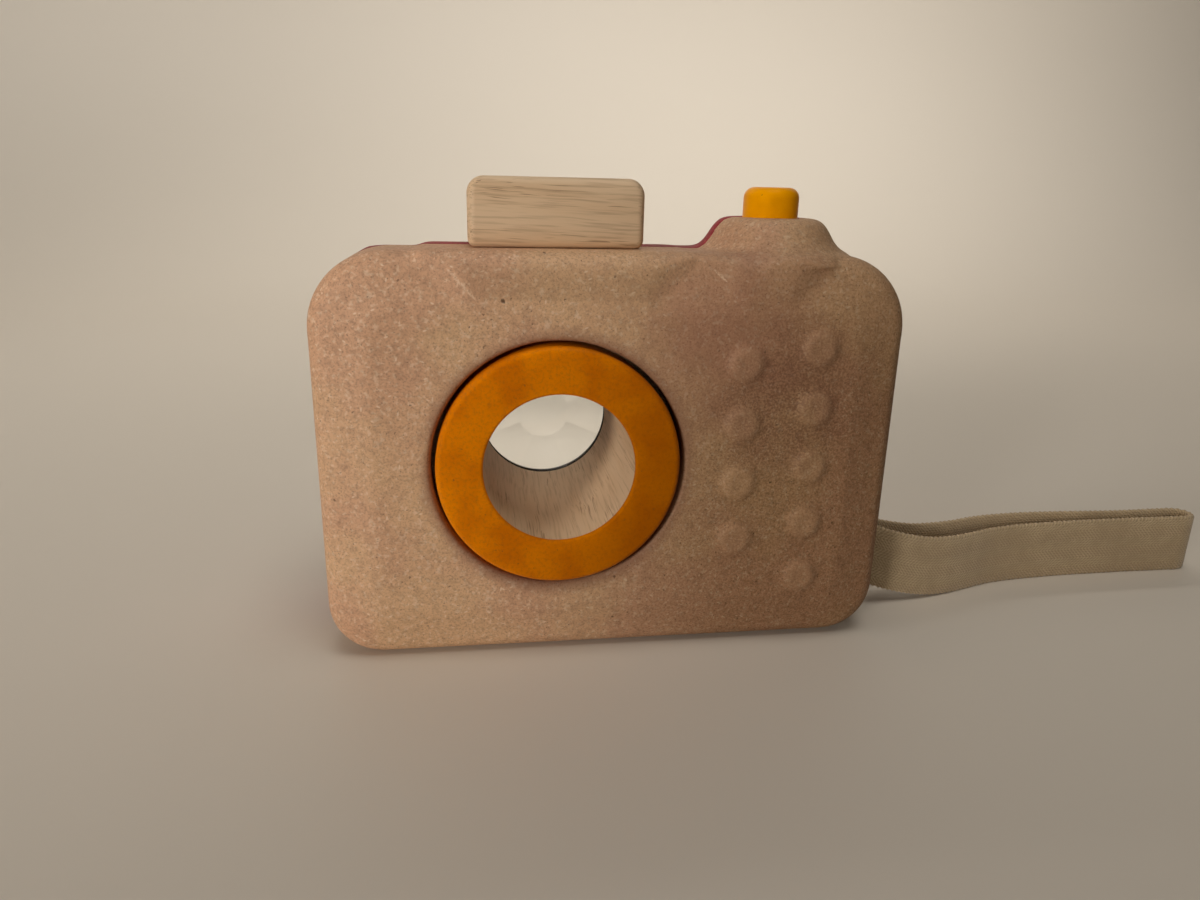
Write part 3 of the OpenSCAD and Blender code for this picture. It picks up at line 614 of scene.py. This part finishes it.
class TOYCAM_OT_stage(bpy.types.Operator):
    """Sets up the camera, the pale floor with its backdrop, and soft light that is strongest from the left"""

    bl_idname = "toycam.stage"
    bl_label = "Stage"

    def execute(self, context):
        settings = context.scene.toy_camera.stage
        self.make_camera(context, settings)
        self.make_floor(context, settings)
        self.make_lights(context)
        context.scene.view_settings.view_transform = "Standard"
        return {"FINISHED"}

    def make_camera(self, context, settings):
        """Places the camera as fitted to the view."""
        data = bpy.data.cameras.new("photo_camera")
        data.sensor_width = 36
        data.lens = settings.focal
        data.clip_start = 0.01
        camera = bpy.data.objects.new("photo_camera", data)
        context.scene.collection.objects.link(camera)
        camera.matrix_world = (Matrix.Translation(settings.eye)
                               @ Matrix.Rotation(settings.yaw, 4, "Z")
                               @ Matrix.Rotation(math.pi / 2 - settings.pitch, 4, "X")
                               @ Matrix.Rotation(settings.roll, 4, "Z"))
        context.scene.camera = camera

    def make_floor(self, context, settings):
        """Makes the floor, which bends up into the backdrop."""
        half_width, near, bend, radius, height, steps = 3.0, -1.2, 0.45, 0.35, 2.2, 10
        turns = [math.pi / 2 * i / steps for i in range(steps + 1)]
        bm = bmesh.new()
        line = [(near, 0)]
        line += [(bend + radius * math.sin(a), radius - radius * math.cos(a)) for a in turns]
        line.append((bend + radius, height))
        corners = [bm.verts.new((-half_width, y, z)) for y, z in line]
        edges = [bm.edges.new(pair) for pair in zip(corners, corners[1:])]
        grown = bmesh.ops.extrude_edge_only(bm, edges=edges)["geom"]
        bmesh.ops.translate(bm, verts=only(bmesh.types.BMVert, grown), vec=(2 * half_width, 0, 0))
        bmesh.ops.recalc_face_normals(bm, faces=bm.faces)
        mesh = bpy.data.meshes.new("floor")
        bm.to_mesh(mesh)
        bm.free()
        mesh.shade_smooth()
        s = Shader("pale_floor", 0.5)
        s.give(Base_Color=settings.floor)
        mesh.materials.append(s.material)
        floor = bpy.data.objects.new("floor", mesh)
        context.scene.collection.objects.link(floor)

    def make_lights(self, context):
        """Hangs three spots and two panels, and gives the room a little light of its own."""
        mouth = (BARREL_AXIS.x, BARREL_LOW.y, BARREL_AXIS.z)

        # Name, place, aim, watts, then a spot's cone in degrees and its radius
        spots = (("left_light", (-0.8, -0.6, 0.26), (-0.21, 0.08, 0.11), 84.0, 29.5, 0.28),
                 ("bore_light", (-0.05, -0.46, 0.19), mouth, 6.0, 3.6, 0.004),
                 ("floor_light", (-0.01, 0.115, 0.7), (-0.01, 0.115, 0.0), 5.5, 12, 0.01))
        for name, where, aim, power, cone, radius in spots:
            data = bpy.data.lights.new(name, "SPOT")
            data.spot_size = math.radians(cone)
            data.spot_blend = 1.0
            data.shadow_soft_size = radius
            self.hang(context, data, where, aim, power)

        # Name, place, aim, watts, then a panel's two sides
        panels = (("ceiling_light", (0.06, -0.22, 1.0), (0.06, 0.02, 0.0), 3.1, 0.5, 0.5),
                  ("backdrop_light", (-0.05, 0.45, 0.65), (-0.05, 0.85, 0.2), 3.6, 1.6, 0.3))
        for name, where, aim, power, width, height in panels:
            data = bpy.data.lights.new(name, "AREA")
            data.shape = "RECTANGLE"
            data.size = width
            data.size_y = height
            self.hang(context, data, where, aim, power)
        world = bpy.data.worlds.new("room")
        world.use_nodes = True
        background = world.node_tree.nodes["Background"]
        background.inputs["Color"].default_value = (*srgb("fff8ee"), 1)
        background.inputs["Strength"].default_value = 0.02
        context.scene.world = world

    def hang(self, context, data, where, aim, power):
        """Puts a light at a place, turned to its aim."""
        data.energy = power
        data.color = srgb("fffaf2")
        lamp = bpy.data.objects.new(data.name, data)
        lamp.location = where
        lamp.rotation_mode = "QUATERNION"
        lamp.rotation_quaternion = (Vector(aim) - Vector(where)).to_track_quat("-Z", "Y")
        context.scene.collection.objects.link(lamp)


class TOYCAM_OT_strap(bpy.types.Operator):
    """Lays the woven wrist strap from its pin along the floor, round its fold and back"""

    bl_idname = "toycam.strap"
    bl_label = "Wrist strap"

    # Way of the tape: right of the body's side, behind the joint line and height of its
    # lower edge, in millimetres
    route = (
        (3, -3, 5.4), (7, -3.2, 4), (11, -2.8, 2.7), (15, -2.2, 1.6), (20, -1.2, 0.6),
        (25, 0, 0.2), (31, 2, 0), (37, 4, 0), (44, 5.4, 0), (52, 6.2, 0),
        (60, 6.8, 0), (68, 7, 0), (76, 7.2, 0), (83, 7.2, 0), (88, 7.2, 0),
        (91, 7.3, 0), (92.84, 8.06, 0), (93.6, 9.9, 0), (92.84, 11.74, 0), (91, 12.5, 0),
        (88, 12.5, 0), (83, 12.4, 0),
        (76, 12.2, 0), (69, 12.4, 0), (61, 12.8, 0), (53, 13, 0), (45, 12.6, 0),
        (37, 11.4, 0), (30, 9.4, 0), (24, 8, 0.2), (19, 7, 0.6), (14, 6, 1.6),
        (10, 5, 2.7), (6.5, 3.8, 4), (3, 3, 5.4))
    slot_floor = 6 * MM

    def execute(self, context):
        settings = context.scene.toy_camera.strap
        path = self.way(settings)
        bm = self.swept(path, settings)
        strap = finished(bm, "wrist_strap_tape", "camera_body", "wrist_strap",
                         cotton(settings))
        return {"FINISHED"}

    def way(self, settings):
        """Closely spaced points of the tape's middle, out from the pin and back to it."""
        clearance = 0.05 * MM
        wrap = (PIN_HIGH.x - PIN_LOW.x) / 2 + settings.thickness / 2 + clearance
        middle = settings.width / 2
        level = self.slot_floor + middle
        bends = [math.radians(180 + 15 * i) for i in range(7)]
        around = [Vector((PIN_AXIS.x + wrap * math.cos(a), JOINT_Y + wrap * math.sin(a), level))
                  for a in bends]
        out = [Vector((BODY_SIDE + x * MM, JOINT_Y + y * MM, z * MM + middle)) for x, y, z in self.route]
        home = [Vector((p.x, 2 * JOINT_Y - p.y, p.z)) for p in reversed(around)]
        points = around + out + home
        path = [points[0]]
        for i in range(len(points) - 1):
            ends = [points[max(i - 1, 0)], points[i], points[i + 1], points[min(i + 2, len(points) - 1)]]
            count = max(1, round((ends[2] - ends[1]).length / settings.step))
            path += [self.between(ends, (k + 1) / count) for k in range(count)]
        return path

    def between(self, p, t):
        """Point between p[1] and p[2] of a smooth line through four points at uneven distances."""
        before, step, after = [(b - a).length for a, b in zip(p, p[1:])]
        straight = p[2] - p[1]
        leave = arrive = straight
        if before:
            leave = step * ((p[1] - p[0]) / before - (p[2] - p[0]) / (before + step)) + straight
        if after:
            arrive = step * ((p[3] - p[2]) / after - (p[3] - p[1]) / (step + after)) + straight
        return (p[1] + leave * t + (3 * straight - 2 * leave - arrive) * t ** 2
                + (leave + arrive - 2 * straight) * t ** 3)

    def swept(self, path, settings):
        """The tape: an upright rounded section, extruded step by step along the way."""
        bm = bmesh.new()
        along = bm.verts.layers.float.new("along")
        across = bm.verts.layers.float.new("across")
        half, thick = settings.width / 2, settings.thickness / 2
        levels = [-1, -0.93, -0.6, -0.2, 0.2, 0.6, 0.93, 1]
        selvage = 0.45
        outline = [(thick * (selvage if abs(level) == 1 else 1), half * level) for level in levels]
        outline += [(-x, z) for x, z in reversed(outline)]
        ring = [bm.verts.new((x, 0, z)) for x, z in outline]
        for vert in ring:
            vert[across] = vert.co.z + half
        edges = [bm.edges.new(pair) for pair in zip(ring, ring[1:] + ring[:1])]
        bm.faces.new(ring)
        last = Matrix.Identity(4)
        travelled = 0.0
        for i, point in enumerate(path):
            ahead = path[min(i + 1, len(path) - 1)] - path[max(i - 1, 0)]
            turn = math.atan2(-ahead.x, ahead.y)
            if i:
                travelled += (point - path[i - 1]).length
                grown = bmesh.ops.extrude_edge_only(bm, edges=edges)["geom"]
                ring = only(bmesh.types.BMVert, grown)
                edges = only(bmesh.types.BMEdge, grown)
            swell = 1 + settings.scallop / half * math.cos(TURN * travelled / settings.pitch)
            stand = (Matrix.Translation(point) @ Matrix.Rotation(turn, 4, "Z")
                     @ Matrix.Diagonal((1, 1, swell, 1)))
            bmesh.ops.transform(bm, matrix=stand @ last.inverted(), verts=ring)
            for vert in ring:
                vert[along] = travelled
            last = stand
        bmesh.ops.contextual_create(bm, geom=edges)
        bmesh.ops.recalc_face_normals(bm, faces=bm.faces)
        return bm


class TOYCAM_OT_shells(bpy.types.Operator):
    """Makes the tan front half and the red back half, with the soft edges of moulded composite"""

    bl_idname = "toycam.shells"
    bl_label = "Half shells"

    def execute(self, context):
        settings = context.scene.toy_camera.shells
        front = softened("front_shell", settings.front_grid, settings)
        finished(front, "front_half", "camera_body", "front_shell",
                 tan_composite(settings), 180)
        back = softened("back_shell", settings.back_grid, settings)
        finished(back, "back_half", "camera_body", "back_shell",
                 red_composite(settings), 180)
        return {"FINISHED"}


class TOYCAM_OT_block(bpy.types.Operator):
    """Makes the viewfinder block of bare wood, with rounded corners and softened edges"""

    bl_idname = "toycam.block"
    bl_label = "Viewfinder block"

    def execute(self, context):
        settings = context.scene.toy_camera.wood
        size = BLOCK_HIGH - BLOCK_LOW
        middle = (BLOCK_LOW + BLOCK_HIGH) / 2
        bm = bmesh.new()
        bmesh.ops.create_cube(bm, size=1, matrix=Matrix.LocRotScale(middle, None, size))
        corners = [e for e in bm.edges if all(v.co.z > middle.z for v in e.verts)
                   and abs(e.verts[0].co.y - e.verts[1].co.y) > size.y / 2]
        rounded(bm, corners, settings.block_corner, 8)
        sharp = [e for e in bm.edges if e.calc_face_angle(0) > math.radians(40)]
        rounded(bm, sharp, settings.block_edge, 5)
        finished(bm, "finder_block", "camera_body", "viewfinder_block",
                 bare_wood("natural_wood", settings, along=0, lean=0.04, run=130), 180)
        return {"FINISHED"}


class TOYCAM_OT_barrel(bpy.types.Operator):
    """Turns the lens barrel: the painted ring in front and the bare bore behind it"""

    bl_idname = "toycam.barrel"
    bl_label = "Lens barrel"

    def execute(self, context):
        settings = context.scene.toy_camera.wood
        axis = Vector((0, 1, 0))
        centre = Vector((BARREL_AXIS.x, BARREL_LOW.y, BARREL_AXIS.z))
        ring = (BARREL_HIGH.x - BARREL_LOW.x) / 2
        clearance = 0.05 * MM
        seat = (GLASS_HIGH.x - GLASS_LOW.x) / 2 + clearance
        shoulder = COLLAR_LOW.y - BARREL_LOW.y
        end = BARREL_HIGH.y - BARREL_LOW.y
        ledge = GLASS_LOW.y - BARREL_LOW.y
        bm = turned([(BORE_RADIUS, 0), (ring, 0), (ring, shoulder), (TUBE_RADIUS, shoulder),
                     (TUBE_RADIUS, end), (seat, end), (seat, ledge), (BORE_RADIUS, ledge)], centre, axis)
        round_loop(bm, centre, axis, ring, 0, settings.ring_edge)
        round_loop(bm, centre, axis, BORE_RADIUS, 0, settings.bore_edge, 3)
        # The ring's lower right is darkened by painted shade with some handling dirt.
        barrel = finished(bm, "turned_barrel", "lens", "lens_barrel",
                          paint("orange_wood", settings.orange, settings.orange_dark, settings, 0.42, 0.3,
                                centre + Vector((ring, 0, -ring / 3))))
        # The bore's wood takes a fifth of the pores' colour as painted shade inside the bore.
        barrel.data.materials.append(bare_wood("barrel_wood", settings, along=1, shade_share=0.2))
        past_tube = TUBE_RADIUS + 0.5 * MM
        for face in barrel.data.polygons:
            offset = face.center - centre
            painted = offset.y < settings.bore_edge or math.hypot(offset.x, offset.z) > past_tube
            face.material_index = 0 if painted else 1
        return {"FINISHED"}


class TOYCAM_OT_lens(bpy.types.Operator):
    """Makes the clear faceted lens and the black ring that holds it"""

    bl_idname = "toycam.lens"
    bl_label = "Faceted lens"

    def execute(self, context):
        settings = context.scene.toy_camera.lens
        finished(self.faceted(settings), "faceted_lens", "lens", "prism_lens",
                 clear_plastic(settings), 5)
        self.make_retainer(settings)
        return {"FINISHED"}

    def faceted(self, settings):
        """A disc whose far side has a round facet in the middle, tilted facets round it and a flat rim."""
        steps = 12 * settings.facets
        centre = Vector((BARREL_AXIS.x, GLASS_LOW.y, BARREL_AXIS.z))
        thick = GLASS_HIGH.y - GLASS_LOW.y
        rim = (GLASS_HIGH.x - GLASS_LOW.x) / 2
        clear = BORE_RADIUS - 0.05 * MM
        sunk = thick - 0.1 * MM

        def tilted(radius, turn):
            """Height of a facet that falls towards the rim."""
            sector = TURN / settings.facets
            off = (turn + sector / 2) % sector - sector / 2
            share = (radius * math.cos(off) - settings.middle) / (clear - settings.middle)
            return sunk - settings.drop * share

        def level(height):
            """The same height all round."""
            return lambda radius, turn: height

        bm = bmesh.new()
        disc = bmesh.ops.create_circle(bm, cap_ends=True, segments=steps, radius=settings.middle)["verts"]
        edges = list({e for v in disc for e in v.link_edges})
        stations = ((settings.middle, tilted), (clear, tilted), (clear + 0.2 * MM, level(thick)),
                    (rim, level(thick)), (rim, level(0)))
        for radius, height in stations:
            grown = bmesh.ops.extrude_edge_only(bm, edges=edges)["geom"]
            edges = only(bmesh.types.BMEdge, grown)
            for vert in only(bmesh.types.BMVert, grown):
                turn = math.atan2(vert.co.y, vert.co.x)
                fall = height(radius, turn) - thick
                vert.co = Vector((radius * math.cos(turn), radius * math.sin(turn), fall))
        bmesh.ops.contextual_create(bm, geom=edges)
        upright = Matrix.Translation(centre + Vector((0, thick, 0))) @ Matrix.Rotation(-math.pi / 2, 4, "X")
        bmesh.ops.transform(bm, matrix=upright, verts=bm.verts)
        bmesh.ops.recalc_face_normals(bm, faces=bm.faces)
        return bm

    def make_retainer(self, settings):
        """Turns the black ring, with its far edges rounded."""
        axis = Vector((0, 1, 0))
        centre = Vector((BARREL_AXIS.x, RETAINER_LOW.y, BARREL_AXIS.z))
        outer = (RETAINER_HIGH.x - RETAINER_LOW.x) / 2
        inner = BORE_RADIUS
        thick = RETAINER_HIGH.y - RETAINER_LOW.y
        bm = turned([(inner, 0), (outer, 0), (outer, thick), (inner, thick)], centre, axis)
        for radius, width in ((inner, 0.3 * MM), (outer, 0.2 * MM)):
            round_loop(bm, centre, axis, radius, thick, width, 3)
        finished(bm, "lens_ring", "lens", "lens_retainer", black_plastic(settings))


class TOYCAM_OT_button(bpy.types.Operator):
    """Turns the painted shutter button with its flange, and winds the spring under it"""

    bl_idname = "toycam.button"
    bl_label = "Button and spring"

    def execute(self, context):
        settings = context.scene.toy_camera.wood
        self.make_button(settings)
        self.make_spring()
        return {"FINISHED"}

    def make_button(self, settings):
        """Turns the button: a stub in the spring, the flange on it and the cap."""
        axis = Vector((0, 0, 1))
        centre = Vector((BUTTON_AXIS.x, BUTTON_AXIS.y, BUTTON_LOW.z))
        cap, stub, flange_rise = 5.3 * MM, 3.8 * MM, 3 * MM
        cap_edge, flange_edge = 2 * MM, 0.3 * MM
        flange = (BUTTON_HIGH.x - BUTTON_LOW.x) / 2
        foot = SPRING_HIGH.z - BUTTON_LOW.z
        seat = foot + flange_rise
        top = BUTTON_HIGH.z - BUTTON_LOW.z
        bm = turned([(0, 0), (stub, 0), (stub, foot), (flange, foot), (flange, seat), (cap, seat),
                     (cap, top), (0, top)], centre, axis, 96)
        bmesh.ops.remove_doubles(bm, verts=bm.verts, dist=WELD_DISTANCE)
        round_loop(bm, centre, axis, cap, top, cap_edge, 7)
        round_loop(bm, centre, axis, flange, seat, flange_edge, 2)
        # The button's right is darkened by painted shade.
        finished(bm, "painted_button", "button", "shutter_button",
                 paint("yellow_wood", settings.yellow, settings.yellow_dark, settings, 0.36, 0.03,
                       centre + Vector((8 * cap, 0, -4 * cap))))

    def make_spring(self):
        """Winds the coil at rest, with a mesh of its own; the real coil shortens as the button goes down."""
        turns, wire = 6, 0.9 * MM
        tall = SPRING_HIGH.z - SPRING_LOW.z
        coil = (SPRING_HIGH.x - SPRING_LOW.x - wire) / 2
        rise = tall - wire
        steps = 40 * turns
        start = Vector((BUTTON_AXIS.x + coil, BUTTON_AXIS.y, SPRING_LOW.z + wire / 2))
        bm = bmesh.new()
        upright = Matrix.Translation(start) @ Matrix.Rotation(math.pi / 2, 4, "X")
        wire_end = bmesh.ops.create_circle(bm, cap_ends=True, segments=12, radius=wire / 2,
                                           matrix=upright)["verts"]
        section = wire_end + list({e for v in wire_end for e in v.link_edges}) + list(bm.faces)
        bmesh.ops.spin(bm, geom=section, cent=BUTTON_AXIS, axis=(0, 0, 1), dvec=(0, 0, rise / steps),
                       angle=TURN * turns, steps=steps)
        bmesh.ops.recalc_face_normals(bm, faces=bm.faces)
        spring = finished(bm, "coil_spring", "camera_body", "button_spring", steel())
        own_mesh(spring)


class TOYCAM_OT_inside(bpy.types.Operator):
    """Finishes the dowels, the strap pin, the collar and the felts, which stay as packed"""

    bl_idname = "toycam.inside"
    bl_label = "Inner pieces"

    def execute(self, context):
        settings = context.scene.toy_camera.wood
        dowel = bare_wood("dowel_wood", settings, along=1)
        finishes = {"shell_dowels": dowel, "viewfinder_dowels": dowel, "strap_pin": dowel,
                    "barrel_collar": bare_wood("collar_wood", settings, along=0), "barrel_felts": felt()}
        for node, material in finishes.items():
            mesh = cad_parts[node].data
            mesh.materials.clear()
            mesh.materials.append(material)
        return {"FINISHED"}


class TOYCAM_PT_panel(bpy.types.Panel):
    """Lists what builds the toy camera, with its settings"""

    bl_idname = "TOYCAM_PT_panel"
    bl_label = "Toy Camera"
    bl_space_type = "VIEW_3D"
    bl_region_type = "UI"
    bl_category = "Toy Camera"

    def draw(self, context):
        settings = context.scene.toy_camera
        for operator in OPERATORS:
            self.layout.operator(operator.bl_idname)
        for group in (settings.shells, settings.wood, settings.lens, settings.strap, settings.stage):
            box = self.layout.box()
            for name in group.__annotations__:
                box.prop(group, name)


OPERATORS = (TOYCAM_OT_stage, TOYCAM_OT_strap, TOYCAM_OT_shells, TOYCAM_OT_block, TOYCAM_OT_barrel,
             TOYCAM_OT_lens, TOYCAM_OT_button, TOYCAM_OT_inside)
GROUPS = (ShellSettings, WoodSettings, LensSettings, StrapSettings, StageSettings, ToyCameraSettings)


def register():
    """Makes the settings, operators and panel known to Blender."""
    for cls in (*GROUPS, *OPERATORS, TOYCAM_PT_panel):
        bpy.utils.register_class(cls)
    bpy.types.Scene.toy_camera = PointerProperty(type=ToyCameraSettings)


def unregister():
    """Takes the settings, operators and panel away again."""
    del bpy.types.Scene.toy_camera
    for cls in reversed((*GROUPS, *OPERATORS, TOYCAM_PT_panel)):
        bpy.utils.unregister_class(cls)


def main():
    """Builds the stage and every piece."""
    register()
    bpy.ops.toycam.stage()
    bpy.ops.toycam.strap()
    bpy.ops.toycam.shells()
    bpy.ops.toycam.block()
    bpy.ops.toycam.barrel()
    bpy.ops.toycam.lens()
    bpy.ops.toycam.button()
    bpy.ops.toycam.inside()


if __name__ == "__main__":
    main()
